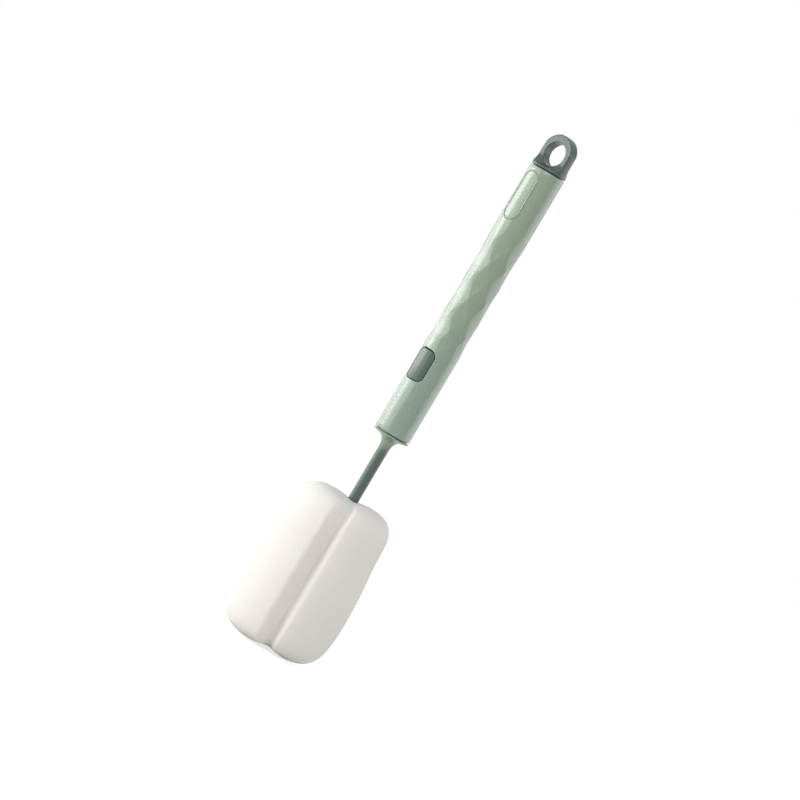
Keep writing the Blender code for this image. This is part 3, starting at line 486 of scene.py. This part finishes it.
# Foam head: four lobes between cut grooves, with the outline as (height, reach) that the photograph shows on
# either side; angles are counted from the camera side, to the right
foamHead = {
    "length": 79.0, "radius": 26.6, "segments": 360, "rings": 64, "crestSoft": 0.6, "endSoft": 0.8,
    "left": (
        (0.0, 13.5), (0.5, 16.8), (1.3, 19.4), (3.0, 22.2), (5.0, 24.2), (8.4, 25.9), (13.0, 26.9),
        (20.0, 27.3), (32.0, 27.4), (45.0, 27.4), (56.0, 27.2), (63.0, 26.7), (68.5, 25.9), (72.7, 24.5),
        (75.2, 22.7), (77.0, 20.4), (78.3, 17.6), (79.0, 13.5)),
    "right": (
        (0.0, 13.5), (0.5, 16.0), (1.3, 18.3), (3.0, 20.9), (5.0, 22.6), (8.4, 24.1), (13.0, 25.1),
        (20.0, 25.9), (27.0, 26.2), (36.0, 26.0), (45.0, 25.3), (52.0, 24.6), (60.0, 24.0), (66.0, 23.7),
        (70.0, 23.3), (73.0, 22.4), (75.2, 21.1), (77.0, 19.5), (78.3, 16.9), (79.0, 13.5)),
    "sideFull": 0.022, "sidePower": 8,  # the lobes' shoulders carry the outline
    "grooveAngles": (-3.8, 84.0, 177.0, -93.0), "grooveHalf": (5.2, 4.2, 5.0, 4.2), "root": 17.5,
    "wallShare": 0.98, "wallLimit": 80.0,  # how wide and how far out a groove's wall is followed
    "valley": (1.0, 4.5, 9.0),  # a groove's end sinks in: depth, width, spread along the foam
    "dome": 1.2, "domeFrom": 13.0,  # the ends fall off to the front and back, in full from this radius out
    "twist": 6.0, "twistFrom": 24.0, "twistSpan": 10.0,  # the grooves lean towards the middle, as cut
    "voxel": 0.75, "smoothing": 2, "waver": 0.28, "waverSize": 14.0,
    "core": (7.5, 9.0, 75.0), "holeTop": 82.0, "pocket": 0.35, "pocketSteps": 48}


# Radius at an angle where only the grooves shape it
def lobeRadius(angle):
    radius = foamHead["radius"]
    for middle, half in zip(foamHead["grooveAngles"], foamHead["grooveHalf"]):
        slope = math.atan2(half, math.sqrt(foamHead["radius"] ** 2 - half ** 2) - foamHead["root"])
        offset = abs((angle - math.radians(middle) + math.pi) % math.tau - math.pi)
        if offset < slope * foamHead["wallShare"]:
            wall = foamHead["root"] * math.sin(slope) / math.sin(slope - offset)
            radius = softLesser(radius, min(wall, foamHead["wallLimit"]), foamHead["crestSoft"])
    return radius


def shapeFoamRing(corners, height, facing):
    left = reachAt(foamHead["left"], height)
    right = reachAt(foamHead["right"], height)
    for corner in corners:
        angle = math.atan2(corner.co.y, corner.co.x) - facing
        limit = (left + right) / 2 + (right - left) / 2 * math.sin(angle)
        limit *= 1 + foamHead["sideFull"] * math.sin(angle) ** foamHead["sidePower"]
        radius = softLesser(lobeRadius(angle) * limit / foamHead["radius"], limit, foamHead["endSoft"])
        turn = facing + angle
        corner.co = Vector((math.cos(turn), math.sin(turn), 0)) * radius * mm + Vector((0, 0, height * mm))


# What the knife and the give of the foam leave: uneven sides, soft ends and grooves that lean
def softenFoam(shape, facing):
    depth, width, spread = foamHead["valley"]
    length = foamHead["length"]
    middles = [math.radians(middle) for middle in foamHead["grooveAngles"]]
    for corner in shape.verts:
        radius = math.hypot(corner.co.x, corner.co.y) / mm
        inwards = eased((foamHead["twistFrom"] - radius) / foamHead["twistSpan"])
        turn = math.radians(foamHead["twist"]) * inwards
        waver = noise.noise(corner.co / (foamHead["waverSize"] * mm)) * foamHead["waver"] * mm
        angle = math.atan2(corner.co.y, corner.co.x) - facing
        away = min(abs(radius * math.sin(angle - middle)) for middle in middles)
        height = corner.co.z / mm
        fromEnd = max(0.0, 1 - height / spread) ** 2 - max(0.0, 1 - (length - height) / spread) ** 2
        dome = foamHead["dome"] * math.cos(angle) ** 2 * min(1.0, radius / foamHead["domeFrom"])
        sink = (depth * math.exp(-(away / width) ** 2) + dome) * fromEnd
        corner.co = Matrix.Rotation(turn, 3, "Z") @ (corner.co + corner.normal * waver)
        corner.co.z += sink * mm
        corner.co.z = min(max(corner.co.z, 0.0), length * mm)


# The space for the core and the stem inside the foam
def makePocket():
    gap = foamHead["pocket"]
    radius, bottom, top = foamHead["core"]
    hole, holeTop = stem["rod"] + gap, foamHead["holeTop"]
    return turnProfile([
        (0, bottom), (radius + gap, bottom), (radius + gap, top + gap), (hole, top + gap), (hole, holeTop),
        (0, holeTop)], foamHead["pocketSteps"])


def makeFoamHead(back):
    facing = math.atan2(back.y, back.x)
    rings = foamHead["rings"]
    heights = [foamHead["length"] * (1 - math.cos(math.pi * step / rings)) / 2 for step in range(rings + 1)]
    shape = bmesh.new()
    bmesh.ops.create_circle(shape, cap_ends=False, radius=1.0, segments=foamHead["segments"])
    edges = shape.edges[:]
    shapeFoamRing(shape.verts, heights[0], facing)
    bmesh.ops.contextual_create(shape, geom=edges)
    for height in heights[1:]:
        corners, edges = extrudeRing(shape, edges)
        shapeFoamRing(corners, height, facing)
    bmesh.ops.contextual_create(shape, geom=edges)
    bmesh.ops.recalc_face_normals(shape, faces=shape.faces)
    shape = throughModifiers(shape, [
        ("REMESH", {"mode": "VOXEL", "voxel_size": foamHead["voxel"] * mm}),
        ("SMOOTH", {"factor": smoothShare, "iterations": foamHead["smoothing"]})])
    softenFoam(shape, facing)
    shape = throughModifiers(shape, [
        ("BOOLEAN", {"operation": "DIFFERENCE", "solver": "EXACT", "object": makePocket()})])
    piece = addPiece("foamHead", shape, foam, "head", "sponge")


# Handle shell: a flat sheet with the window cut out, wrapped round, with rows of diamond flats; the rows of
# faces are counted from the foot to the window, over it, along the flats and up to the top
handle = {
    "radius": 8.75, "bore": 6.95, "rearBore": 6.25, "boreStep": 184.6, "bottom": 113.2, "top": 251.7,
    "columns": 160, "rowCounts": (14, 40, 132, 16), "edgeRound": 0.3, "edgeSteps": 4, "endReach": 0.5,
    "windowWidth": 10.16, "windowLength": 16.2, "windowCorner": 3.4, "windowRound": 0.25,
    "windowHeight": 147.5, "windowSteps": 5, "clearColumns": 21, "clearHeight": 8.6,
    "flatColumns": 12, "flatRows": 7, "flatStart": 157.8, "flatPitch": 8.97, "flatPeak": 8.72,
    "flatReach": 1.1,  # radians from a flat's middle, beyond which it lies outside the tube
    "flatEdge": 0.035, "flatFade": (156.2, 165.0), "flatEnd": 218.0, "runOut": 0.75}


# Radius of one bent flat at an angle away from its middle, where its radius is the base
def bentFlat(away, base, bend):
    if bend < tiny:
        return base / math.cos(away)
    return (math.sqrt(math.cos(away) ** 2 + 4 * bend * base) - math.cos(away)) / (2 * bend)


# The handle's radius with the flats cut off it; a soft minimum rounds the edges between them
def flatRadius(angle, height):
    peak = handle["flatPeak"]
    column = math.tau / handle["flatColumns"]
    middle = peak * (1 + math.cos(column)) / 2
    swell = peak * (1 - math.cos(column)) / 2
    reach = peak * math.sin(column)
    row = (height - handle["flatStart"]) / handle["flatPitch"]
    last = handle["flatRows"] - 1
    soft = handle["flatEdge"]
    total = 1.0  # the tube's own share
    for level in range(max(0, math.floor(row) - 1), min(last, math.floor(row) + 2) + 1):
        spot = (angle - frontAngle) / column
        for offset in (-2, -1, 0, 1, 2):
            near = math.floor(spot) + offset
            away = (spot - near) * column
            if (near + level) % 2 == 0 or abs(away) > handle["flatReach"]:
                continue
            steps = row - level
            rise = swell * steps ** 2
            if (level == 0 and steps < 0) or (level == last and steps > 0):
                rise = handle["runOut"] * abs(steps)
            radius = bentFlat(away, middle + rise, swell * (math.sin(away) / reach) ** 2)
            total += math.exp((handle["radius"] - radius) / soft)
    low, high = handle["flatFade"]  # over the window the flats come in softly
    return handle["radius"] - soft * math.log(total) * eased((height - low) / (high - low))


# The nearest point on the outline of a rounded rectangle, going out from its corner's middle
def onRoundedRectangle(across, along, width, length, corner):
    innerAcross = min(max(across, corner - width / 2), width / 2 - corner)
    innerAlong = min(max(along, corner - length / 2), length / 2 - corner)
    away = Vector((across - innerAcross, along - innerAlong))
    if away.length < tiny:
        return across, along
    away = away.normalized() * corner
    return innerAcross + away.x, innerAlong + away.y


# The lowest and highest row that the window's cut-out takes
def clearSpan():
    return handle["windowHeight"] - handle["clearHeight"], handle["windowHeight"] + handle["clearHeight"]


# Two sheets, outside and bore, wrapped round with the cut-out left open
def wrapHandle():
    low, high = clearSpan()
    end = handle["top"] - handle["edgeRound"]
    stops = (handle["bottom"] + handle["edgeRound"], low, high, handle["flatEnd"], end)
    rows = []
    for first, last, count in zip(stops, stops[1:], handle["rowCounts"]):
        rows += spaced(first, last, count)
    rows.append(end)
    shape = bmesh.new()
    count = len(rows) - 1
    bmesh.ops.create_grid(shape, x_segments=handle["columns"], y_segments=count, size=0.5)
    clear = handle["clearColumns"] / handle["columns"]
    for corner in shape.verts:
        corner.co.z = 0.0
        corner.co.y = rows[round((corner.co.y + 0.5) * count)]
    middles = [face for face in shape.faces
               if abs(face.calc_center_median().x) < clear and low < face.calc_center_median().y < high]
    bmesh.ops.delete(shape, geom=middles, context="FACES")
    inner = bmesh.ops.duplicate(shape, geom=shape.verts[:] + shape.edges[:] + shape.faces[:])["geom"]
    innerCorners = set(cornersOf(inner))
    bmesh.ops.reverse_faces(shape, faces=[item for item in inner if isinstance(item, bmesh.types.BMFace)])
    for corner in shape.verts:
        height = corner.co.y
        angle = frontAngle + corner.co.x * math.tau
        reach = flatRadius(angle, height)
        if corner in innerCorners:
            reach = handle["bore"] if height < handle["boreStep"] else handle["rearBore"]
        corner.co = Vector((math.cos(angle) * reach, math.sin(angle) * reach, height)) * mm
    bmesh.ops.remove_doubles(shape, verts=shape.verts, dist=mergeGap)
    return shape


def isOuter(place):
    return math.hypot(place.x, place.y) > (handle["radius"] + handle["bore"]) / 2 * mm


def closeHandleEnd(shape, endHeight, side):
    def atEnd(place):
        return abs(place.z - endHeight * mm) < handle["endReach"] * mm

    outerRing = openEdges(shape, lambda place: atEnd(place) and isOuter(place))
    innerRing = openEdges(shape, lambda place: atEnd(place) and not isOuter(place))
    rounding = handle["edgeRound"]
    for swing in quarter(handle["edgeSteps"])[1:]:
        corners, outerRing = extrudeRing(shape, outerRing)
        for corner in corners:
            flat = Vector((corner.co.x, corner.co.y)).normalized()
            flat *= (handle["radius"] - rounding * (1 - math.cos(swing))) * mm
            height = endHeight - side * rounding * (1 - math.sin(swing))
            corner.co = (flat.x, flat.y, height * mm)
    bmesh.ops.bridge_loops(shape, edges=outerRing + innerRing)


def closeWindow(shape):
    low, high = clearSpan()

    def inWindow(place):
        return low * mm - mergeGap < place.z < high * mm + mergeGap

    outerRing = openEdges(shape, lambda place: inWindow(place) and isOuter(place))
    innerRing = openEdges(shape, lambda place: inWindow(place) and not isOuter(place))
    rounding = handle["windowRound"]
    for swing in quarter(handle["windowSteps"]):
        corners, outerRing = extrudeRing(shape, outerRing)
        spread = rounding * (1 - math.sin(swing))
        for corner in corners:
            across, along = onRoundedRectangle(
                corner.co.x / mm, corner.co.z / mm - handle["windowHeight"],
                handle["windowWidth"] + 2 * spread, handle["windowLength"] + 2 * spread,
                handle["windowCorner"] + spread)
            depth = rounding * (1 - math.cos(swing)) - math.sqrt(handle["radius"] ** 2 - across ** 2)
            corner.co = Vector((across, depth, handle["windowHeight"] + along)) * mm
    corners, outerRing = extrudeRing(shape, outerRing)
    for corner in corners:
        corner.co.y = -math.sqrt((handle["bore"] * mm) ** 2 - corner.co.x ** 2)
    bmesh.ops.bridge_loops(shape, edges=outerRing + innerRing)


def makeHandle():
    shape = wrapHandle()
    closeHandleEnd(shape, handle["bottom"], -1)
    closeHandleEnd(shape, handle["top"], 1)
    closeWindow(shape)
    bmesh.ops.recalc_face_normals(shape, faces=shape.faces)
    print("handle open edges", sum(edge.is_boundary for edge in shape.edges))
    addPiece("handleShell", shape, sageAbs, "handle", "handle_shell", crease=35.0)


# Raised stadium line round the bare panel near the top of the handle
panel = {
    "width": 9.3, "length": 25.5, "line": 0.85, "relief": 0.34, "sunk": 0.06, "height": 236.75,
    "segments": 64, "spans": 16}


def makePanelLine():
    shape = bmesh.new()
    bmesh.ops.create_grid(shape, x_segments=panel["segments"], y_segments=panel["spans"], size=0.5)
    middle = (panel["width"] - panel["line"]) / 2
    straight = (panel["length"] - panel["width"]) / 2
    for corner in shape.verts:
        turn = (corner.co.x + 0.5 / panel["segments"]) * math.tau  # no corner lies where the two ends part
        swing = corner.co.y * math.tau
        reach = middle + panel["line"] / 2 * math.cos(swing)
        lift = handle["radius"] + (panel["relief"] if swing > 0 else panel["sunk"]) * math.sin(swing)
        along = math.sin(turn) * reach + math.copysign(straight, math.sin(turn))
        angle = frontAngle + math.cos(turn) * reach / handle["radius"]
        corner.co = Vector((math.cos(angle) * lift, math.sin(angle) * lift, panel["height"] + along)) * mm
    bmesh.ops.remove_doubles(shape, verts=shape.verts, dist=mergeGap)
    bmesh.ops.recalc_face_normals(shape, faces=shape.faces)
    addPiece("panelLine", shape, sageAbs, "handle")


# Thumb button: a rounded rectangle with a soft rim and a crowned face; the crown is how far the face lies
# from the handle's axis, and the face is the radius that it is bent to; its legs are hidden and left to the
# CAD solid
button = {
    "width": 9.36, "length": 15.5, "corner": 3.0, "face": 7.4, "crown": 8.92, "round": 0.3, "height": 147.4,
    "inner": -5.8, "skirt": 10.0, "cornerSteps": 14, "rimSteps": 5, "strips": 26, "same": 1e-5}


def makeButton():
    shape = bmesh.new()
    bmesh.ops.create_grid(shape, x_segments=1, y_segments=1, size=0.5)
    bmesh.ops.scale(shape, verts=shape.verts, vec=(button["width"], button["length"], 1.0))
    bmesh.ops.bevel(
        shape, geom=shape.verts[:], offset=button["corner"], offset_type="OFFSET", affect="VERTICES",
        segments=button["cornerSteps"], profile=0.5, material=-1)
    face = shape.faces[:][0]
    rim = face.edges[:]
    for corner in cornersOf(bmesh.ops.extrude_edge_only(shape, edges=rim)["geom"]):
        corner.co.z = -button["skirt"]
    bmesh.ops.bevel(
        shape, geom=rim, offset=button["round"], offset_type="OFFSET", affect="EDGES",
        segments=button["rimSteps"], profile=0.5, material=-1, clamp_overlap=True)
    bmesh.ops.contextual_create(shape, geom=[edge for edge in shape.edges if edge.is_boundary])
    for step in range(1, button["strips"]):
        across = button["width"] * (step / button["strips"] - 0.5)
        bmesh.ops.bisect_plane(
            shape, geom=shape.verts[:] + shape.edges[:] + shape.faces[:], dist=button["same"],
            plane_co=(across, 0, 0), plane_no=(1, 0, 0))
    for corner in shape.verts:
        across, along, depth = corner.co
        level = button["face"] - button["crown"] - math.sqrt(button["face"] ** 2 - across ** 2) - depth
        if depth < -button["skirt"] / 2:
            level = button["inner"]
        corner.co = Vector((across, level, button["height"] + along)) * mm
    bmesh.ops.recalc_face_normals(shape, faces=shape.faces)
    addPiece("thumbButton", shape, buttonAbs, "button", "button", crease=50.0)


# Hanging cap: lip, concave shoulders and a flat loop, softened all over as the moulding is; the slab is half
# the loop's thickness, and the ring under the lip closes the view through the seam
cap = {
    "radius": 8.75, "bottom": 252.1, "lipTop": 253.2, "top": 270.0, "slab": 2.5, "shoulder": 4.4,
    "hole": 5.9, "holeHeight": 260.3, "plug": 5.95, "plugInner": 4.45, "plugEnd": 243.1, "plugRoof": 250.1,
    "plugSunk": 0.5, "ring": (7.7, 251.8), "blockWidth": 19.0, "spare": 2, "archDepth": 20,
    "cutterLength": 40, "shoulderSteps": 14, "segments": 128, "eyeSegments": 96, "plugSteps": 96,
    "same": 1e-7, "voxel": 0.2, "smoothing": 9}


# A slab on a lip, with the two edges between them rounded out to shoulders
def makeCapBlock():
    lipTop, bottom = cap["lipTop"], cap["bottom"]
    width = cap["blockWidth"] * mm
    shape = bmesh.new()
    bmesh.ops.create_cube(shape, size=1.0)
    bmesh.ops.scale(shape, verts=shape.verts, vec=(width, width, (lipTop - bottom) * mm))
    bmesh.ops.translate(shape, verts=shape.verts, vec=(0, 0, (lipTop + bottom) / 2 * mm))
    for side in (-1, 1):
        bmesh.ops.bisect_plane(
            shape, geom=shape.verts[:] + shape.edges[:] + shape.faces[:], dist=cap["same"],
            plane_co=(0, side * cap["slab"] * mm, 0), plane_no=(0, 1, 0))
    roof = [face for face in shape.faces if face.normal.z > 0.9 and abs(face.calc_center_median().y) < mm]
    grown = bmesh.ops.extrude_face_region(shape, geom=roof)["geom"]
    bmesh.ops.delete(shape, geom=roof, context="FACES")
    for corner in cornersOf(grown):
        corner.co.z = (cap["top"] + cap["spare"]) * mm
    inside = [edge for edge in shape.edges
              if all(abs(corner.co.z - lipTop * mm) < cap["same"] for corner in edge.verts)
              and all(abs(abs(corner.co.y) - cap["slab"] * mm) < cap["same"] for corner in edge.verts)
              and abs(edge.verts[0].co.x - edge.verts[1].co.x) > mm]
    bmesh.ops.bevel(
        shape, geom=inside, offset=cap["shoulder"] * mm, offset_type="OFFSET", affect="EDGES",
        segments=cap["shoulderSteps"], profile=0.5, material=-1)
    bmesh.ops.recalc_face_normals(shape, faces=shape.faces)
    return shape


# The loop's outline from the front: half round above, straight sides below
def makeArch():
    arch = bmesh.new()
    bmesh.ops.create_circle(arch, cap_ends=True, radius=cap["radius"] * mm, segments=cap["segments"])
    for corner in arch.verts:
        if corner.co.y < -cap["same"]:
            corner.co.y = (cap["bottom"] - cap["top"] + cap["radius"]) * mm
    for corner in cornersOf(bmesh.ops.extrude_face_region(arch, geom=arch.faces[:])["geom"]):
        corner.co.z = cap["archDepth"] * mm
    bmesh.ops.translate(arch, verts=arch.verts, vec=(0, 0, -cap["archDepth"] / 2 * mm))
    turnToFront(arch, cap["top"] - cap["radius"])
    bmesh.ops.recalc_face_normals(arch, faces=arch.faces)
    return arch


def makeCutter(radius, segments):
    shape = bmesh.new()
    bmesh.ops.create_cone(
        shape, cap_ends=True, radius1=radius * mm, radius2=radius * mm, depth=cap["cutterLength"] * mm,
        segments=segments)
    return shape


def makeCap():
    drum = makeCutter(cap["radius"], cap["segments"])
    bmesh.ops.translate(drum, verts=drum.verts, vec=(0, 0, (cap["bottom"] + cap["cutterLength"] / 2) * mm))
    eye = makeCutter(cap["hole"], cap["eyeSegments"])
    turnToFront(eye, cap["holeHeight"])
    ring, ringEnd = cap["ring"]
    ringTop = cap["lipTop"] - cap["plugSunk"]
    plug = turnProfile([
        (0, ringTop), (ring, ringTop), (ring, ringEnd), (cap["plug"], ringEnd), (cap["plug"], cap["plugEnd"]),
        (cap["plugInner"], cap["plugEnd"]), (cap["plugInner"], cap["plugRoof"]), (0, cap["plugRoof"])],
        cap["plugSteps"])
    shape = throughModifiers(makeCapBlock(), [
        ("BOOLEAN", {"operation": "INTERSECT", "solver": "EXACT", "object": makeArch()}),
        ("BOOLEAN", {"operation": "INTERSECT", "solver": "EXACT", "object": drum}),
        ("BOOLEAN", {"operation": "UNION", "solver": "EXACT", "object": plug}),
        ("BOOLEAN", {"operation": "DIFFERENCE", "solver": "EXACT", "object": eye}),
        ("REMESH", {"mode": "VOXEL", "voxel_size": cap["voxel"] * mm}),
        ("SMOOTH", {"factor": smoothShare, "iterations": cap["smoothing"]})])
    addPiece("hangingCap", shape, greyGreenAbsPaintedShade, "handle", "loop_cap")


# Return spring: a coil from the nut up to the cartridge's end wall, drawn at rest; the real one closes up
# when the nut rises
coil = {
    "radius": 2.854, "wire": 0.25, "low": 150.6, "high": 179.4, "turns": 8, "sections": 12,
    "stepsPerTurn": 24}


def makeSpring():
    shape = bmesh.new()
    bmesh.ops.create_circle(shape, cap_ends=False, radius=coil["wire"] * mm, segments=coil["sections"])
    turnToFront(shape, coil["low"])
    bmesh.ops.translate(shape, verts=shape.verts, vec=(coil["radius"] * mm, 0, 0))
    steps = coil["turns"] * coil["stepsPerTurn"]
    rise = (coil["high"] - coil["low"]) / steps
    first = shape.edges[:]
    grown = bmesh.ops.spin(
        shape, geom=shape.verts[:] + first, cent=(0, 0, 0), axis=(0, 0, 1), dvec=(0, 0, rise * mm),
        angle=math.tau * coil["turns"], steps=steps)["geom_last"]
    bmesh.ops.contextual_create(shape, geom=first)
    bmesh.ops.contextual_create(shape, geom=[item for item in grown if isinstance(item, bmesh.types.BMEdge)])
    bmesh.ops.recalc_face_normals(shape, faces=shape.faces)
    piece = addPiece("coilSpring", shape, groundSteel, None, "return_spring")
    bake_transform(piece)


# Hidden pieces keep their CAD shapes and get the finish of the real parts; all but these are steel
hiddenFinishes = {
    "sponge_core": naturalAcetal, "front_bush": naturalAcetal, "rear_bush": naturalAcetal,
    "drive_nut": naturalAcetal, "cartridge_left": innerAbs, "cartridge_right": innerAbs}


def finishHiddenPieces():
    for name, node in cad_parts.items():
        if name in dressed:
            continue
        for slot in node.material_slots:
            slot.material = hiddenFinishes.get(name, groundSteel)
    print("hidden pieces finished")


across, back = placeCamera()
makeFloor()
lightScene(across, back)
makeFoamHead(back)
makeStem()
makeHandle()
makePanelLine()
makeButton()
makeCap()
makeSpring()
finishHiddenPieces()

scene.view_settings.view_transform = "Standard"
